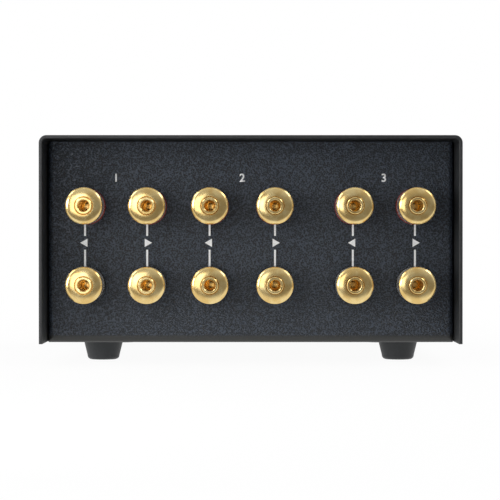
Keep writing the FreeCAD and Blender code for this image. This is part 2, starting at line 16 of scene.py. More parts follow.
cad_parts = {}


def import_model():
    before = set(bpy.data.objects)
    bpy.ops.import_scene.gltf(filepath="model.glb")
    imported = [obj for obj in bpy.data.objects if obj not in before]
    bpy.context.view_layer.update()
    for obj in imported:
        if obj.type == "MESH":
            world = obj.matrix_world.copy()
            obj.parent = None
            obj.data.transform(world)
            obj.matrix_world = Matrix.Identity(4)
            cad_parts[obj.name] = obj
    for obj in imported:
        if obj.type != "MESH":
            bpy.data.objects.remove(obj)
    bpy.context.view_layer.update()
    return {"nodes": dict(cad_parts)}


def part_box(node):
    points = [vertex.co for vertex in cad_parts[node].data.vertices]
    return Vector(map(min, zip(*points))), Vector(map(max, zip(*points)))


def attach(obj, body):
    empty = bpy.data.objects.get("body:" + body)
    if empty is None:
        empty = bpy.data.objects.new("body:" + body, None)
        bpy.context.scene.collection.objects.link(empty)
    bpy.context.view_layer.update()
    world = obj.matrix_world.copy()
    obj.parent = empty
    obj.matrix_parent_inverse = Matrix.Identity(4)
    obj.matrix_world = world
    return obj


LOG = logging.getLogger("switch")
MM = 0.001
Colour = tuple[float, float, float]


class Body(Enum):
    """Bodies of the frame that carry new pieces."""

    CASE = "case"
    DIAL = "dial"


class Facing(Enum):
    """Side of the case that flat marks are printed on."""

    DIAL_SIDE = -1
    CONNECTOR_SIDE = 1


class Field:
    """A number that varies over a surface; arithmetic on it adds Math nodes."""

    def __init__(self, net: Net, socket: bpy.types.NodeSocket) -> None:
        """Wrap an output socket.

        Args:
            net: The node net that the socket belongs to.
            socket: The output socket.
        """
        self.net = net
        self.socket = socket

    def _join(self, operation: str, *terms: Field | float) -> Field:
        """Add one Math node.

        Args:
            operation: The node's operation.
            terms: Its inputs in order.

        Returns:
            The node's result.
        """
        node = self.net.add(
            "ShaderNodeMath", {"operation": operation}, dict(enumerate(terms))
        )
        return Field(self.net, node.outputs[0])

    def __add__(self, other: Field | float) -> Field:
        """Sum."""
        return self._join("ADD", self, other)

    def __radd__(self, other: float) -> Field:
        """Sum with a number in front."""
        return self._join("ADD", other, self)

    def __sub__(self, other: Field | float) -> Field:
        """Difference."""
        return self._join("SUBTRACT", self, other)

    def __rsub__(self, other: float) -> Field:
        """Difference with a number in front."""
        return self._join("SUBTRACT", other, self)

    def __mul__(self, other: Field | float) -> Field:
        """Product."""
        return self._join("MULTIPLY", self, other)

    def wave(self) -> Field:
        """Sine."""
        return self._join("SINE", self)

    def root(self) -> Field:
        """Square root."""
        return self._join("SQRT", self)

    def angle_to(self, other: Field) -> Field:
        """Angle of the point (other, self) around the origin."""
        return self._join("ARCTAN2", self, other)

    def most(self, other: Field | float) -> Field:
        """The larger of two."""
        return self._join("MAXIMUM", self, other)

    def least(self, other: Field | float) -> Field:
        """The smaller of two."""
        return self._join("MINIMUM", self, other)

    def ramp(self, low: float, high: float) -> Field:
        """Smooth step from 0 at low to 1 at high.

        Args:
            low: Where the step starts.
            high: Where it ends.

        Returns:
            A number from 0 to 1.
        """
        node = self.net.add(
            "ShaderNodeMapRange",
            {"interpolation_type": "SMOOTHSTEP"},
            {"Value": self, "From Min": low, "From Max": high},
        )
        return Field(self.net, node.outputs["Result"])


class Net:
    """Builder of one node tree."""

    def __init__(self, tree: bpy.types.NodeTree) -> None:
        """Start from an empty tree.

        Args:
            tree: The tree to fill.
        """
        self.tree = tree
        tree.nodes.clear()

    def add(
        self,
        kind: str,
        settings: Mapping[str, Any] | None = None,
        inputs: Mapping[int | str, Any] | None = None,
    ) -> bpy.types.Node:
        """Add one node.

        Args:
            kind: The node's type.
            settings: Its own settings.
            inputs: A value, field or socket for each input socket.

        Returns:
            The node.
        """
        node = self.tree.nodes.new(kind)
        for name, value in (settings or {}).items():
            setattr(node, name, value)
        for key, value in (inputs or {}).items():
            socket = node.inputs[key]
            if isinstance(value, Field):
                self.tree.links.new(value.socket, socket)
            elif isinstance(value, bpy.types.NodeSocket):
                self.tree.links.new(value, socket)
            elif isinstance(value, tuple) and len(value) == 3 and socket.type == "RGBA":
                socket.default_value = (*value, 1.0)
            else:
                socket.default_value = value
        return node

    def place(self) -> bpy.types.NodeSocket:
        """Position in the row frame, in metres."""
        return self.add("ShaderNodeTexCoord").outputs["Object"]

    def axes(self, vector: bpy.types.NodeSocket) -> tuple[Field, Field, Field]:
        """Split a vector.

        Args:
            vector: The vector's socket.

        Returns:
            Its three numbers.
        """
        node = self.add("ShaderNodeSeparateXYZ", inputs={0: vector})
        x, y, z = (Field(self, output) for output in node.outputs)
        return x, y, z

    def stretched(self, scale: Colour) -> bpy.types.NodeSocket:
        """Position scaled along each axis, for patterns with a grain.

        Args:
            scale: Factor along X, Y and Z.

        Returns:
            The scaled position.
        """
        node = self.add(
            "ShaderNodeMapping", inputs={"Vector": self.place(), "Scale": scale}
        )
        return node.outputs[0]

    def noise(
        self,
        scale: float,
        detail: float = 2.0,
        roughness: float = 0.5,
        vector: bpy.types.NodeSocket | None = None,
    ) -> Field:
        """Soft noise.

        Args:
            scale: Bumps for each metre of the vector.
            detail: Octaves.
            roughness: Weight of the finer octaves.
            vector: Where the noise is read, or the plain position.

        Returns:
            A number around 0.5.
        """
        node = self.add(
            "ShaderNodeTexNoise",
            inputs={
                "Vector": vector or self.place(),
                "Scale": scale,
                "Detail": detail,
                "Roughness": roughness,
            },
        )
        return Field(self, node.outputs[0])

    def cells(self, scale: float) -> Field:
        """Distance to the nearest of many scattered points.

        Args:
            scale: Points for each metre.

        Returns:
            A number from 0 at a point.
        """
        node = self.add(
            "ShaderNodeTexVoronoi", inputs={"Vector": self.place(), "Scale": scale}
        )
        return Field(self, node.outputs[0])

    def rays(self) -> tuple[Field, Field]:
        """Kinds of ray that reach the surface.

        Returns:
            1 for what the camera sees itself, and 1 for mirrored or see-through rays.
        """
        path = self.add("ShaderNodeLightPath")
        seen, glossy, through = (
            Field(self, path.outputs[name])
            for name in ("Is Camera Ray", "Is Glossy Ray", "Is Transmission Ray")
        )
        return seen, glossy.most(through)

    def mix(
        self, factor: Field | float, first: Any, second: Any
    ) -> bpy.types.NodeSocket:
        """Blend two colours.

        Args:
            factor: Share of the second.
            first: Colour or socket.
            second: Colour or socket.

        Returns:
            The blended colour.
        """
        node = self.add(
            "ShaderNodeMix",
            {"data_type": "RGBA"},
            {"Factor": factor, 6: first, 7: second},
        )
        return node.outputs[2]

    def bump(self, height: Field, distance: float) -> bpy.types.NodeSocket:
        """Relief from a height.

        Args:
            height: Height from 0 to 1.
            distance: Real height of 1, in metres.

        Returns:
            The bent normal.
        """
        node = self.add(
            "ShaderNodeBump", inputs={"Height": height, "Distance": distance}
        )
        return node.outputs[0]

    def surface(self, **inputs: Any) -> bpy.types.NodeSocket:
        """Principled surface.

        Args:
            inputs: Socket names with underscores for spaces.

        Returns:
            The shader's output.
        """
        node = self.add(
            "ShaderNodeBsdfPrincipled",
            inputs={name.replace("_", " "): value for name, value in inputs.items()},
        )
        return node.outputs[0]

    def end(self, shader: bpy.types.NodeSocket, kind: str = "Material") -> None:
        """Join a shader to the output.

        Args:
            shader: The shader's output socket.
            kind: Material or World.
        """
        self.add(f"ShaderNodeOutput{kind}", inputs={"Surface": shader})


@dataclass(frozen=True)
class Finish:
    """A finish; each kind draws its own nodes."""

    def draw(self, net: Net) -> bpy.types.NodeSocket:
        """Build the shader.

        Args:
            net: The material's node net.

        Returns:
            The shader's output socket.
        """
        raise NotImplementedError

    def material(self, name: str) -> bpy.types.Material:
        """Make the material.

        Args:
            name: The material's name.

        Returns:
            The material.
        """
        made = bpy.data.materials.new(name)
        made.use_nodes = True
        net = Net(made.node_tree)
        net.end(self.draw(net))
        return made


@dataclass(frozen=True)
class PowderCoat(Finish):
    """Black powder coat with a fine leathery grain, and painted light on its lower
    fold.
    """

    dark: Colour
    light: Colour
    # Plain colour of the lower fold, lighter than the grain: painted light caught by
    # the bend.
    edge: Colour
    fold: tuple[float, float]
    grain: float = 2300.0
    relief: float = 0.00012
    gloss: float = 0.34

    def draw(self, net: Net) -> bpy.types.NodeSocket:
        """Grain of two sizes over a slow change of tone; the lower fold is smoother and
        has a plain, lighter colour, painted light caught by the bend.

        Args:
            net: The material's node net.

        Returns:
            The shader's output socket.
        """
        fine = net.noise(self.grain, 3.0, 0.6)
        pebbles = net.cells(self.grain * 0.8)
        slow = net.noise(18.0, 2.0)
        upward = net.axes(net.place())[2]
        flat = upward.ramp(*self.fold) * 0.75 + 0.25
        height = (fine * 0.7 + pebbles * 0.5).ramp(0.45, 0.80) * flat
        tone = (height * 0.8 + slow * 0.2).ramp(0.0, 1.0)
        grained = net.mix(tone, self.dark, self.light)
        # Below the fold the plain edge colour replaces the grain: painted light on the
        # bend.
        return net.surface(
            Base_Color=net.mix(upward.ramp(*self.fold), self.edge, grained),
            Roughness=self.gloss + (1 - height) * 0.16,
            Normal=net.bump(height, self.relief),
        )


@dataclass(frozen=True)
class SmoothPaint(Finish):
    """Satin black coat of the cover, with a faint orange peel and a few dust specks."""

    colour: Colour
    edge: Colour
    gloss: float = 0.38

    def draw(self, net: Net) -> bpy.types.NodeSocket:
        """Low ripple with specks.

        Args:
            net: The material's node net.

        Returns:
            The shader's output socket.
        """
        peel = net.noise(700.0, 2.0)
        fine = net.noise(2600.0, 2.0)
        speck = net.noise(340.0, 1.0).ramp(0.72, 0.78)
        tone = (peel * 0.6 + fine * 0.4).ramp(0.3, 0.75)
        shade = net.mix(tone * 0.7, self.colour, self.edge)
        return net.surface(
            Base_Color=net.mix(speck * 0.25, shade, self.edge),
            Roughness=self.gloss + fine * 0.14,
            Normal=net.bump(peel * 0.5 + fine * 0.5, 0.00003),
        )


@dataclass(frozen=True)
class Gold(Finish):
    """Polished gold plate with turned rings, and a knurl behind a given place."""

    middle: tuple[float, float] = (0.0, 0.0)
    knurl_end: float = 0.0
    deep: Colour = (0.74, 0.51, 0.19)
    pale: Colour = (0.88, 0.69, 0.33)
    polish: float = 0.17
    ring_turn: float = 21000.0
    ring_relief: float = 0.0000012
    knurl_teeth: float = 60.0
    knurl_relief: float = 0.0003
    knurl_fade: float = 0.0002

    def draw(self, net: Net) -> bpy.types.NodeSocket:
        """Warm plate with slow stains and fine turning marks around the middle.

        Args:
            net: The material's node net.

        Returns:
            The shader's output socket.
        """
        x, y, z = net.axes(net.place())
        across = x - self.middle[0]
        upward = z - self.middle[1]
        radius = (across * across + upward * upward).root()
        stain = net.noise(260.0, 3.0)
        height = (radius * self.ring_turn + stain * 3.0).wave() * 0.25 + 0.25
        relief = self.ring_relief
        if self.knurl_end:
            ridge = (upward.angle_to(across) * self.knurl_teeth).wave() * 0.5 + 0.5
            height = ridge * (1 - (y - self.knurl_end).ramp(-self.knurl_fade, 0.0))
            relief = self.knurl_relief
        return net.surface(
            Base_Color=net.mix(stain.ramp(0.3, 0.7), self.deep, self.pale),
            Metallic=1.0,
            Roughness=self.polish + stain * 0.10,
            Normal=net.bump(height, relief),
        )


@dataclass(frozen=True)
class Brass(Finish):
    """Drilled brass at the bottom of a bore, with painted shade and painted
    reflections.
    """

    # Deep is warmer than plain brass, partly painted shade of the deep bore; pale is
    # the colour of the painted reflection streaks.
    deep: Colour = (0.80, 0.42, 0.10)
    pale: Colour = (0.98, 0.72, 0.32)

    def draw(self, net: Net) -> bpy.types.NodeSocket:
        """Mottled brass with long upright pale streaks, painted reflections of bright
        strips.

        Args:
            net: The material's node net.

        Returns:
            The shader's output socket.
        """
        # Upright pale streaks in the colour: painted reflections of bright strips seen
        # in the bore.
        streak = net.noise(1.0, 2.0, 0.5, net.stretched((1500.0, 300.0, 260.0)))
        return net.surface(
            Base_Color=net.mix(streak.ramp(0.35, 0.65), self.deep, self.pale),
            Metallic=1.0,
            Roughness=0.2 + streak * 0.12,
            Normal=net.bump(streak, 0.00005),
        )


@dataclass(frozen=True)
class ClearSkin(Finish):
    """Clear hard plastic that shows the metal behind it."""

    tint: Colour

    def draw(self, net: Net) -> bpy.types.NodeSocket:
        """Glossy skin, see-through but at grazing angles.

        Args:
            net: The material's node net.

        Returns:
            The shader's output socket.
        """
        haze = net.noise(900.0, 2.0)
        gloss = net.surface(
            Base_Color=net.mix(haze, self.tint, (0.95, 0.95, 0.95)),
            Roughness=0.05 + haze * 0.08,
            Normal=net.bump(haze, 0.00001),
        )
        clear = net.add("ShaderNodeBsdfTransparent", inputs={0: self.tint})
        rim = net.add("ShaderNodeLayerWeight", inputs={"Blend": 0.35})
        share = Field(net, rim.outputs["Facing"]) * 0.55 + 0.12
        joined = net.add(
            "ShaderNodeMixShader", inputs={0: share, 1: clear.outputs[0], 2: gloss}
        )
        return joined.outputs[0]


@dataclass(frozen=True)
class Moulded(Finish):
    """Moulded plastic or rubber with a fine skin."""

    colour: Colour
    gloss: float = 0.4
    grain: float = 900.0
    relief: float = 0.00002
    change: float = 0.15

    def draw(self, net: Net) -> bpy.types.NodeSocket:
        """Fine skin with cloudy tone.

        Args:
            net: The material's node net.

        Returns:
            The shader's output socket.
        """
        skin = net.noise(self.grain, 3.0, 0.6)
        cloud = net.noise(60.0, 2.0)
        pale = tuple(min(1.0, c * (1 + self.change) + 0.004) for c in self.colour)
        deep = tuple(c * (1 - self.change) for c in self.colour)
        return net.surface(
            Base_Color=net.mix((skin * 0.6 + cloud * 0.4).ramp(0.3, 0.7), deep, pale),
            Roughness=self.gloss + skin * 0.12,
            Normal=net.bump(skin, self.relief),
        )


@dataclass(frozen=True)
class BrushedMetal(Finish):
    """Metal brushed along X, plain or anodised."""

    colour: Colour
    metallic: float = 1.0
    gloss: float = 0.28
    streaks: float = 5200.0

    def draw(self, net: Net) -> bpy.types.NodeSocket:
        """Long streaks in tone, gloss and relief.

        Args:
            net: The material's node net.

        Returns:
            The shader's output socket.
        """
        drawn = net.stretched((18.0, 900.0, self.streaks))
        streak = net.noise(1.0, 3.0, 0.6, drawn)
        cloud = net.noise(25.0, 2.0)
        pale = tuple(min(1.0, c * 1.25 + 0.01) for c in self.colour)
        deep = tuple(c * 0.75 for c in self.colour)
        return net.surface(
            Base_Color=net.mix((streak * 0.8 + cloud * 0.2).ramp(0.3, 0.7), deep, pale),
            Metallic=self.metallic,
            Roughness=self.gloss + streak * 0.16,
            Normal=net.bump(streak, 0.000012),
        )


@dataclass(frozen=True)
class TurnedMetal(Finish):
    """Metal turned on a lathe around a line along Y."""

    colour: Colour
    middle: tuple[float, float]
    gloss: float = 0.22
    ring: float = 9000.0

    def draw(self, net: Net) -> bpy.types.NodeSocket:
        """Close rings around the middle.

        Args:
            net: The material's node net.

        Returns:
            The shader's output socket.
        """
        x, y, z = net.axes(net.place())
        across = x - self.middle[0]
        upward = z - self.middle[1]
        radius = (across * across + upward * upward).root()
        cloud = net.noise(140.0, 3.0)
        rings = ((radius + y * 0.7) * self.ring + cloud * 2.0).wave() * 0.5 + 0.5
        pale = tuple(min(1.0, c * 1.12) for c in self.colour)
        deep = tuple(c * 0.86 for c in self.colour)
        return net.surface(
            Base_Color=net.mix(rings * 0.5 + cloud * 0.5, deep, pale),
            Metallic=1.0,
            Roughness=self.gloss + rings * 0.06 + cloud * 0.08,
            Normal=net.bump(rings, 0.000004),
        )


@dataclass(frozen=True)
class Plated(Finish):
    """Bright zinc, nickel or tin with a cloudy surface."""

    colour: Colour
    gloss: float = 0.24

    def draw(self, net: Net) -> bpy.types.NodeSocket:
        """Cloudy plate.

        Args:
            net: The material's node net.

        Returns:
            The shader's output socket.
        """
        cloud = net.noise(420.0, 4.0, 0.6)
        deep = tuple(c * 0.8 for c in self.colour)
        return net.surface(
            Base_Color=net.mix(cloud.ramp(0.3, 0.7), deep, self.colour),
            Metallic=1.0,
            Roughness=self.gloss + cloud * 0.14,
            Normal=net.bump(cloud, 0.000006),
        )


@dataclass(frozen=True)
class Laminate(Finish):
    """Brown resin-bonded paper with a faint weave."""

    colour: Colour = (0.36, 0.19, 0.075)

    def draw(self, net: Net) -> bpy.types.NodeSocket:
        """Fibres across the sheet.

        Args:
            net: The material's node net.

        Returns:
            The shader's output socket.
        """
        fibre = net.noise(1.0, 3.0, 0.6, net.stretched((400.0, 400.0, 4200.0)))
        mottle = net.noise(500.0, 3.0)
        deep = tuple(c * 0.7 for c in self.colour)
        pale = tuple(c * 1.25 for c in self.colour)
        return net.surface(
            Base_Color=net.mix(fibre * 0.5 + mottle * 0.5, deep, pale),
            Roughness=0.42 + mottle * 0.15,
            Normal=net.bump(fibre, 0.00001),
        )


@dataclass(frozen=True)
class Print(Finish):
    """Screen-printed paint, a little uneven at its edges."""

    colour: Colour = (0.90, 0.91, 0.92)

    def draw(self, net: Net) -> bpy.types.NodeSocket:
        """Ink with a fine mottle.

        Args:
            net: The material's node net.

        Returns:
            The shader's output socket.
        """
        mottle = net.noise(2600.0, 2.0)
        worn = tuple(c * 0.86 for c in self.colour)
        return net.surface(
            Base_Color=net.mix(mottle.ramp(0.35, 0.6), worn, self.colour),
            Roughness=0.5 + mottle * 0.1,
            Normal=net.bump(mottle, 0.00001),
        )


def settle(
    name: str, shape: bmesh.types.BMesh, body: Body, finish: Finish
) -> bpy.types.Object:
    """Turn a finished bmesh into a piece that rides on a body.

    Args:
        name: The piece's name.
        shape: Its mesh, in metres in the row frame; it is freed.
        body: The body it rides on.
        finish: Its finish.

    Returns:
        The piece.
    """
    bmesh.ops.recalc_face_normals(shape, faces=shape.faces)
    mesh = bpy.data.meshes.new(name)
    shape.to_mesh(mesh)
    shape.free()
    piece = bpy.data.objects.new(name, mesh)
    bpy.context.scene.collection.objects.link(piece)
    mesh.materials.append(finish.material(name))
    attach(piece, body.value)
    LOG.info("%s: %d faces", name, len(mesh.polygons))
    return piece


def dress(node: bpy.types.Object, material: bpy.types.Material) -> None:
    """Give a node of the frame its material.

    Args:
        node: The node's object.
        material: The material.
    """
    node.data.materials.clear()
    node.data.materials.append(material)
    LOG.info("%s: %s", node.name, material.name)


def join(whole: bmesh.types.BMesh, part: bmesh.types.BMesh) -> None:
    """Move a shape into a larger one.

    Args:
        whole: The shape that grows.
        part: The shape that it takes in; it is freed.
    """
    kept = bpy.data.meshes.new("part")
    part.to_mesh(kept)
    part.free()
    whole.from_mesh(kept)
    bpy.data.meshes.remove(kept)


def side_matrix(facing: Facing, x: float, y: float, z: float) -> Matrix:
    """Place for a flat shape drawn in X and Y, so that it reads from outside.

    Args:
        facing: The side of the case.
        x: Place of its origin.
        y: Place of its origin.
        z: Place of its origin.

    Returns:
        The transform.
    """
    way = facing.value
    return Matrix(((-way, 0, 0, x), (0, 0, way, y), (0, 1, 0, z), (0, 0, 0, 1)))


@dataclass
class Marks:
    """Printed marks on one side of the case."""

    facing: Facing
    y: float
    ink: float = 0.04 * MM
    sunk: float = 0.02 * MM
    digit_share: float = 0.69
    digit_weight: float = 0.035
    shape: bmesh.types.BMesh = field(default_factory=bmesh.new)

    def _add(self, part: bmesh.types.BMesh, x: float, z: float) -> None:
        """Give a flat shape the ink's thickness and join it to the print.

        Args:
            part: Flat shape drawn in X and Y; it is freed.
            x: Place of its origin on the case.
            z: Place of its origin on the case.
        """
        made = bmesh.ops.extrude_face_region(part, geom=part.faces[:])
        corners = [v for v in made["geom"] if isinstance(v, bmesh.types.BMVert)]
        bmesh.ops.translate(part, verts=corners, vec=(0, 0, self.ink + self.sunk))
        bmesh.ops.translate(part, verts=part.verts, vec=(0, 0, -self.sunk))
        part.transform(side_matrix(self.facing, x, self.y, z))
        join(self.shape, part)

    def bar(self, x: float, z: float, length: float, width: float, turn: float) -> None:
        """Print a straight bar.

        Args:
            x: Middle of the bar.
            z: Middle of the bar.
            length: Length upward before the turn.
            width: Width.
            turn: Turn in radians, anticlockwise as read.
        """
        part = bmesh.new()
        bmesh.ops.create_grid(part, x_segments=1, y_segments=1, size=0.5)
        bmesh.ops.scale(part, verts=part.verts, vec=(width, length, 1))
        bmesh.ops.rotate(part, verts=part.verts, matrix=Matrix.Rotation(turn, 3, "Z"))
        self._add(part, x, z)

    def triangle(self, x: float, z: float, radius: float, turn: float) -> None:
        """Print a solid triangle.

        Args:
            x: Middle of the triangle.
            z: Middle of the triangle.
            radius: Middle to corner.
            turn: Turn in radians, anticlockwise as read.
        """
        part = bmesh.new()
        bmesh.ops.create_circle(part, cap_ends=True, segments=3, radius=radius)
        bmesh.ops.rotate(part, verts=part.verts, matrix=Matrix.Rotation(turn, 3, "Z"))
        self._add(part, x, z)

    def number(self, text: str, x: float, z: float, height: float) -> None:
        """Print a plain number.

        Args:
            text: The digits.
            x: Middle of the number.
            z: Middle of the number.
            height: Height of a digit.
        """
        curve = bpy.data.curves.new("digits", "FONT")
        curve.body = text
        curve.size = height / self.digit_share
        curve.align_x = "CENTER"
        curve.align_y = "CENTER"
        curve.resolution_u = 6
        curve.offset = height * self.digit_weight
        holder = bpy.data.objects.new("digits", curve)
        flat = bpy.data.meshes.new_from_object(holder)
        part = bmesh.new()
        part.from_mesh(flat)
        bmesh.ops.remove_doubles(part, verts=part.verts, dist=1e-7)
        bpy.data.objects.remove(holder)
        bpy.data.curves.remove(curve)
        bpy.data.meshes.remove(flat)
        self._add(part, x, z)

    def finish(self, name: str, body: Body, finish: Finish, slot: str) -> None:
        """Settle the print as one piece.

        Args:
            name: The piece's name.
            body: The body it rides on.
            finish: Its finish.
            slot: The record's material slot; not used.
        """
        settle(name, self.shape, body, finish)


@dataclass
class Case:
    """Cover, tray, front panel, feet and screws."""

    nodes: Mapping[str, bpy.types.Object]
    coat: PowderCoat = PowderCoat(
        (0.004, 0.006, 0.009),
        (0.044, 0.058, 0.082),
        # Lower fold colour: painted light caught by the bend.
        (0.026, 0.027, 0.026),
        (0.0094, 0.0104),
    )
    paint: SmoothPaint = SmoothPaint((0.013, 0.014, 0.015), (0.032, 0.034, 0.036))
    front: BrushedMetal = BrushedMetal((0.030, 0.030, 0.033), 0.6, 0.34)
    rubber: Moulded = Moulded((0.015, 0.018, 0.020), 0.45, 1200.0, 0.00004)
    black_screw: Plated = Plated((0.05, 0.05, 0.05), 0.4)
    zinc: Plated = Plated((0.62, 0.62, 0.60))

    def build(self) -> None:
        """Dress every node of the case."""
        finishes: dict[str, Finish] = {
            "chassis_tray": self.coat,
            "top_cover": self.paint,
            "front_panel": self.front,
            "rubber_feet": self.rubber,
            "cover_screws": self.black_screw,
            "chassis_screws": self.zinc,
        }
        for name, finish in finishes.items():
            dress(self.nodes[name], finish.material(name))


@dataclass
class BindingPosts:
    """Studs, insulators, caps, lugs and wires of the twelve posts."""

    nodes: Mapping[str, bpy.types.Object]
    columns: int = 6
    red: Moulded = Moulded((0.24, 0.022, 0.016), 0.18, 700.0, 0.00001)
    black: Moulded = Moulded((0.015, 0.015, 0.016), 0.2, 700.0, 0.00001)
    sleeve: ClearSkin = ClearSkin((0.90, 0.91, 0.91))
    tin: Plated = Plated((0.72, 0.72, 0.70))
    solder: Plated = Plated((0.66, 0.66, 0.66), 0.3)
    socket_radius: float = 1.98 * MM
    socket_depth: float = 16.0 * MM
    socket_crown: float = 0.26 * MM
    socket_keel: float = 0.5 * MM
    socket_steps: int = 8
    socket_sides: int = 40
    solder_foot: float = 1.5 * MM
    solder_top: float = 0.85 * MM
    solder_length: float = 1.3 * MM
    solder_reach: float = 7.4 * MM
    solder_sides: int = 20

    def names(self) -> list[str]:
        """Name of each post."""
        return [
            f"{row}_{column + 1}"
            for row in ("top", "bottom")
            for column in range(self.columns)
        ]

    def middle(self, name: str) -> Vector:
        """Middle of a post's clamp washer.

        Args:
            name: The post's name.

        Returns:
            The point.
        """
        low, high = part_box(f"clamp_washer_{name}")
        return (low + high) / 2

    def build(self) -> None:
        """Dress the posts and add their solder and the floors of their sockets."""
        plain = Gold().material("gold_plain")
        sleeve = self.sleeve.material("clear_sleeve")
        dress(self.nodes["post_studs"], plain)
        dress(self.nodes["post_nuts"], plain)
        dress(self.nodes["solder_lugs"], self.tin.material("tinned_lugs"))
        dress(self.nodes["red_insulators"], self.red.material("red_rings"))
        dress(self.nodes["black_insulators"], self.black.material("black_rings"))
        for colour, finish in (("red", self.red), ("black", self.black)):
            skin = Moulded(finish.colour, 0.45, 1600.0, 0.00001)
            dress(self.nodes[f"{colour}_wires"], skin.material(f"{colour}_wire_skin"))
        for name in self.names():
            middle = self.middle(name)
            sleeve_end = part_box(f"cap_sleeve_{name}")[1].y
            gold = Gold((middle.x, middle.z), sleeve_end)
            dress(self.nodes[f"cap_core_{name}"], gold.material(f"gold_cap_{name}"))
            dress(self.nodes[f"cap_sleeve_{name}"], sleeve)
            dress(self.nodes[f"clamp_washer_{name}"], plain)
        self.add_solder()
        self.add_socket_floors()

    def add_socket_floors(self) -> None:
        """Shallow dome at the bottom of each post's socket, over the drill's cone."""
        shape = bmesh.new()
        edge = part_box("post_studs")[1].y - self.socket_depth
        ball = (self.socket_radius**2 + self.socket_crown**2) / (2 * self.socket_crown)
        reach = math.asin(self.socket_radius / ball)
        tilts = [reach * i / self.socket_steps for i in range(self.socket_steps + 1)]
        points = [
            (ball * math.sin(tilt), self.socket_crown - ball * (1 - math.cos(tilt)), 0)
            for tilt in tilts
        ]
        points.append((0, -self.socket_keel, 0))
        for name in self.names():
            middle = self.middle(name)
            dome = bmesh.new()
            profile = [dome.verts.new(point) for point in points]
            lines = [dome.edges.new(pair) for pair in zip(profile, profile[1:])]
            bmesh.ops.spin(
                dome,
                geom=profile + lines,
                cent=(0, 0, 0),
                axis=(0, 1, 0),
                angle=2 * math.pi,
                steps=self.socket_sides,
                use_merge=True,
            )
            bmesh.ops.remove_doubles(dome, verts=dome.verts, dist=1e-7)
            bmesh.ops.translate(dome, verts=dome.verts, vec=(middle.x, edge, middle.z))
            join(shape, dome)
        settle("socket_floors", shape, Body.CASE, Brass())

    def add_solder(self) -> None:
        """A fillet of solder where each wire meets its lug."""
        shape = bmesh.new()
        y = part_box("solder_lugs")[0].y - self.solder_length / 2
        for name in self.names():
            middle = self.middle(name)
            side = 1 if name.startswith("top") else -1
            fillet = bmesh.new()
            bmesh.ops.create_cone(
                fillet,
                cap_ends=True,
                segments=self.solder_sides,
                radius1=self.solder_foot,
                radius2=self.solder_top,
                depth=self.solder_length,
            )
            place = (middle.x, y, middle.z + side * self.solder_reach)
            fillet.transform(
                Matrix.Translation(place) @ Matrix.Rotation(math.pi / 2, 4, "X")
            )
            join(shape, fillet)
        settle("solder_fillets", shape, Body.CASE, self.solder)


@dataclass
class ConnectorPrint:
    """White lines, arrows and numbers between and above the posts."""

    posts: BindingPosts
    line_width: float = 0.7 * MM
    line_places: tuple[float, ...] = (
        60.0 * MM,
        37.5 * MM,
        14.9 * MM,
        -8.8 * MM,
        -37.0 * MM,
        -59.5 * MM,
    )
    gap_low: float = 33.6 * MM
    gap_high: float = 38.6 * MM
    mark_size: float = 1.75 * MM
    number_height: float = 2.8 * MM
    number_lift: float = 59.5 * MM
    post_clearance: float = 5.0 * MM
    number_places: tuple[float, ...] = (48.75 * MM, 3.05 * MM, -48.25 * MM)

    def build(self) -> None:
        """Print the panel."""
        low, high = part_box("chassis_tray")
        print_marks = Marks(Facing.CONNECTOR_SIDE, high.y)
        for column, x in enumerate(self.line_places):
            upper = self.posts.middle(f"top_{column + 1}")
            lower = self.posts.middle(f"bottom_{column + 1}")
            ends = (
                (low.z + self.gap_high, upper.z - self.post_clearance),
                (lower.z + self.post_clearance, low.z + self.gap_low),
            )
            for start, stop in ends:
                print_marks.bar(
                    x, (start + stop) / 2, stop - start, self.line_width, 0.0
                )
            turn = math.pi / 2 if column % 2 == 0 else -math.pi / 2
            middle = low.z + (self.gap_low + self.gap_high) / 2
            print_marks.triangle(x, middle, self.mark_size, turn)
        for number, x in enumerate(self.number_places, start=1):
            print_marks.number(
                str(number), x, low.z + self.number_lift, self.number_height
            )
        print_marks.finish("connector_print", Body.CASE, Print(), "chassis_tray")


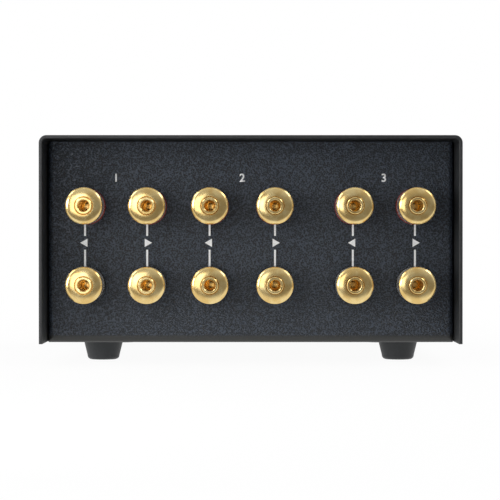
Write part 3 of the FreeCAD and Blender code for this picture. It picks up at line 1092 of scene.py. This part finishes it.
@dataclass
class Dial:
    """Knob, its pointer and the marks around it."""

    nodes: Mapping[str, bpy.types.Object]
    step: float = math.radians(30)
    tick_inner: float = 19.6 * MM
    tick_outer: float = 22.0 * MM
    number_radius: float = 25.5 * MM
    number_height: float = 3.6 * MM
    tick_width: float = 0.6 * MM
    pointer_width: float = 1.3 * MM
    pointer_start: float = 7.3 * MM
    pointer_end: float = 16.2 * MM
    pointer_depth: float = 0.5 * MM
    pointer_middle: float = 1.05 * MM
    pointer_edge: float = 0.08 * MM
    black: Colour = (0.025, 0.025, 0.027)
    aluminium: Colour = (0.60, 0.61, 0.62)

    def build(self) -> None:
        """Dress the knob and print the dial."""
        low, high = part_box("dial_knob")
        middle = ((low.x + high.x) / 2, (low.z + high.z) / 2)
        turned = TurnedMetal(self.aluminium, middle).material("turned_aluminium")
        dress(self.nodes["dial_knob"], turned)
        dress(self.nodes["switch_shaft"], turned)
        dress(
            self.nodes["grub_screw"], Plated((0.06, 0.06, 0.06), 0.35).material("grub")
        )
        self.print_dial(*middle)
        self.add_pointer(low.y, *middle)

    def print_dial(self, x: float, z: float) -> None:
        """Ticks and numbers on the front panel.

        Args:
            x: Middle of the dial.
            z: Middle of the dial.
        """
        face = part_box("front_panel")[0].y
        marks = Marks(Facing.DIAL_SIDE, face)
        for place, text in ((-1, "1"), (0, "0"), (1, "2")):
            angle = place * self.step
            away = (self.tick_inner + self.tick_outer) / 2
            marks.bar(
                x + away * math.sin(angle),
                z + away * math.cos(angle),
                self.tick_outer - self.tick_inner,
                self.tick_width,
                -angle,
            )
            marks.number(
                text,
                x + self.number_radius * math.sin(angle),
                z + self.number_radius * math.cos(angle),
                self.number_height,
            )
        marks.finish("dial_print", Body.CASE, Print(), "front_panel")

    def add_pointer(self, y: float, x: float, z: float) -> None:
        """Black filling in the knob's slot.

        Args:
            y: The knob's front.
            x: Middle of the dial.
            z: Middle of the dial.
        """
        shape = bmesh.new()
        bmesh.ops.create_cube(shape, size=1.0)
        length = self.pointer_end - self.pointer_start
        size = (self.pointer_width, self.pointer_depth, length)
        bmesh.ops.scale(shape, verts=shape.verts, vec=size)
        bmesh.ops.bevel(
            shape,
            geom=shape.edges[:],
            offset=self.pointer_edge,
            offset_type="OFFSET",
            affect="EDGES",
            segments=2,
            profile=0.5,
            material=-1,
        )
        place = (x, y + self.pointer_middle, z + self.pointer_start + length / 2)
        bmesh.ops.translate(shape, verts=shape.verts, vec=place)
        settle("pointer_filling", shape, Body.DIAL, Print(self.black))


@dataclass
class RotarySwitch:
    """Inner works of the dial."""

    nodes: Mapping[str, bpy.types.Object]
    nickel: Plated = Plated((0.66, 0.65, 0.62))
    silver: Plated = Plated((0.80, 0.79, 0.76), 0.18)
    steel: BrushedMetal = BrushedMetal((0.50, 0.50, 0.51), 1.0, 0.3)
    rotor: Moulded = Moulded((0.72, 0.69, 0.60), 0.4)

    def build(self) -> None:
        """Dress every node of the switch."""
        finishes: dict[str, Finish] = {
            "switch_bushing": self.nickel,
            "switch_nut": self.nickel,
            "switch_contacts": self.silver,
            "switch_ties": self.steel,
            "index_plate": self.steel,
            "detent_spring": self.steel,
            "switch_wafers": Laminate(),
            "switch_rotors": self.rotor,
        }
        for name, finish in finishes.items():
            dress(self.nodes[name], finish.material(name))


@dataclass(frozen=True)
class Lamp:
    """Square soft lamp; its glow is its brightness as seen, 1 being white."""

    name: str
    place: tuple[float, float, float]
    size: float
    glow: float

    def hang(self, aim: Vector) -> None:
        """Hang the lamp.

        Args:
            aim: The point that it faces.
        """
        data = bpy.data.lights.new(self.name, "AREA")
        data.size = self.size
        data.energy = self.glow * math.pi * self.size**2
        lamp = bpy.data.objects.new(self.name, data)
        lamp.location = self.place
        way = aim - Vector(self.place)
        lamp.rotation_euler = way.to_track_quat("-Z", "Y").to_euler()
        lamp.visible_camera = False
        bpy.context.scene.collection.objects.link(lamp)


@dataclass
class Studio:
    """Camera, floor, lamps and surroundings."""

    camera_place: Vector = field(
        default_factory=lambda: Vector((0.00025, 0.7934, 0.0453))
    )
    camera_dip: float = math.radians(0.35)
    lens: float = 141.9
    sensor: float = 36.0
    aim: Vector = field(default_factory=lambda: Vector((0.0, 0.0, 0.045)))
    white: Colour = (1.0, 1.0, 1.0)
    floor_size: float = 6.0
    floor_gap: float = 0.0001
    floor_dark: Colour = (0.86, 0.86, 0.86)
    floor_light: Colour = (0.90, 0.90, 0.90)
    floor_mirrored: Colour = (0.28, 0.28, 0.28)
    floor_glow: float = 0.95
    ambient: float = 0.62
    front_dim: float = 0.74
    front_lift: float = 0.30
    rear_dim: float = 0.45
    lamps: tuple[Lamp, ...] = (
        Lamp("key", (0.14, 0.38, 0.08), 0.17, 2.3),
        Lamp("side", (0.60, 0.34, 0.12), 0.30, 7.0),
        Lamp("left", (0.50, 0.14, 0.46), 0.22, 4.0),
        Lamp("right", (-0.50, 0.14, 0.50), 0.22, 4.0),
        Lamp("dial", (-0.45, -0.75, 0.60), 0.60, 3.0),
        Lamp("dial_side", (0.60, -0.60, 0.30), 0.45, 1.6),
    )

    def build(self) -> None:
        """Set up everything around the object."""
        self.set_camera()
        self.set_floor()
        self.set_world()
        for lamp in self.lamps:
            lamp.hang(self.aim)
        bpy.context.scene.view_settings.view_transform = "Standard"

    def set_camera(self) -> None:
        """Camera straight behind the connector panel."""
        data = bpy.data.cameras.new("camera")
        data.lens = self.lens
        data.sensor_width = self.sensor
        data.clip_start = 0.01
        data.clip_end = 50.0
        camera = bpy.data.objects.new("camera", data)
        camera.location = self.camera_place
        camera.rotation_euler = Euler((math.pi / 2 - self.camera_dip, 0.0, math.pi))
        bpy.context.scene.collection.objects.link(camera)
        bpy.context.scene.camera = camera

    def set_floor(self) -> None:
        """Pale floor, white to the eye, that keeps a soft shadow around the object."""
        shape = bmesh.new()
        bmesh.ops.create_grid(shape, x_segments=1, y_segments=1, size=self.floor_size)
        bmesh.ops.translate(shape, verts=shape.verts, vec=(0, 0, -self.floor_gap))
        mesh = bpy.data.meshes.new("floor")
        shape.to_mesh(mesh)
        shape.free()
        floor = bpy.data.objects.new("floor", mesh)
        bpy.context.scene.collection.objects.link(floor)
        made = bpy.data.materials.new("floor")
        made.use_nodes = True
        net = Net(made.node_tree)
        x, y, _ = net.axes(net.place())
        away = (x * x + y * y).root().ramp(0.20, 0.60)
        cloud = net.noise(3.0, 1.0) * 0.1
        plain = net.surface(
            Base_Color=net.mix(cloud, self.floor_dark, self.floor_light), Roughness=0.9
        )
        seen, mirrored = net.rays()
        shade = net.mix(
            y.ramp(0.13, 0.19) * mirrored, self.white, self.floor_mirrored
        )
        glow = net.add("ShaderNodeEmission", inputs={"Color": shade})
        share = seen * (self.floor_glow + away * (1 - self.floor_glow)) + mirrored
        joined = net.add(
            "ShaderNodeMixShader",
            inputs={0: share.least(1.0), 1: plain, 2: glow.outputs[0]},
        )
        net.end(joined.outputs[0])
        mesh.materials.append(made)

    def set_world(self) -> None:
        """White surroundings, dimmer behind the camera where metal mirrors them."""
        world = bpy.data.worlds.new("surroundings")
        bpy.context.scene.world = world
        world.use_nodes = True
        net = Net(world.node_tree)
        way = net.add("ShaderNodeTexCoord").outputs["Generated"]
        _, y, z = net.axes(way)
        front = y.ramp(-0.20, 0.65)
        rear = (0 - y).ramp(0.40, 0.95)
        dimmed = front * (self.front_dim - z.ramp(0.05, 0.60) * self.front_lift)
        level = 1 - dimmed - rear * self.rear_dim
        seen, mirrored = net.rays()
        unseen = mirrored * level + (1 - mirrored) * self.ambient
        strength = seen + (1 - seen) * unseen
        sky = net.add("ShaderNodeBackground", inputs={0: self.white, 1: strength})
        net.end(sky.outputs[0], "World")


def main() -> None:
    """Build the looks."""
    logging.basicConfig(level=logging.INFO, format="%(name)s %(message)s")
    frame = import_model()
    nodes = frame["nodes"]
    Case(nodes).build()
    posts = BindingPosts(nodes)
    posts.build()
    ConnectorPrint(posts).build()
    Dial(nodes).build()
    RotarySwitch(nodes).build()
    Studio().build()


if __name__ == "__main__":
    main()
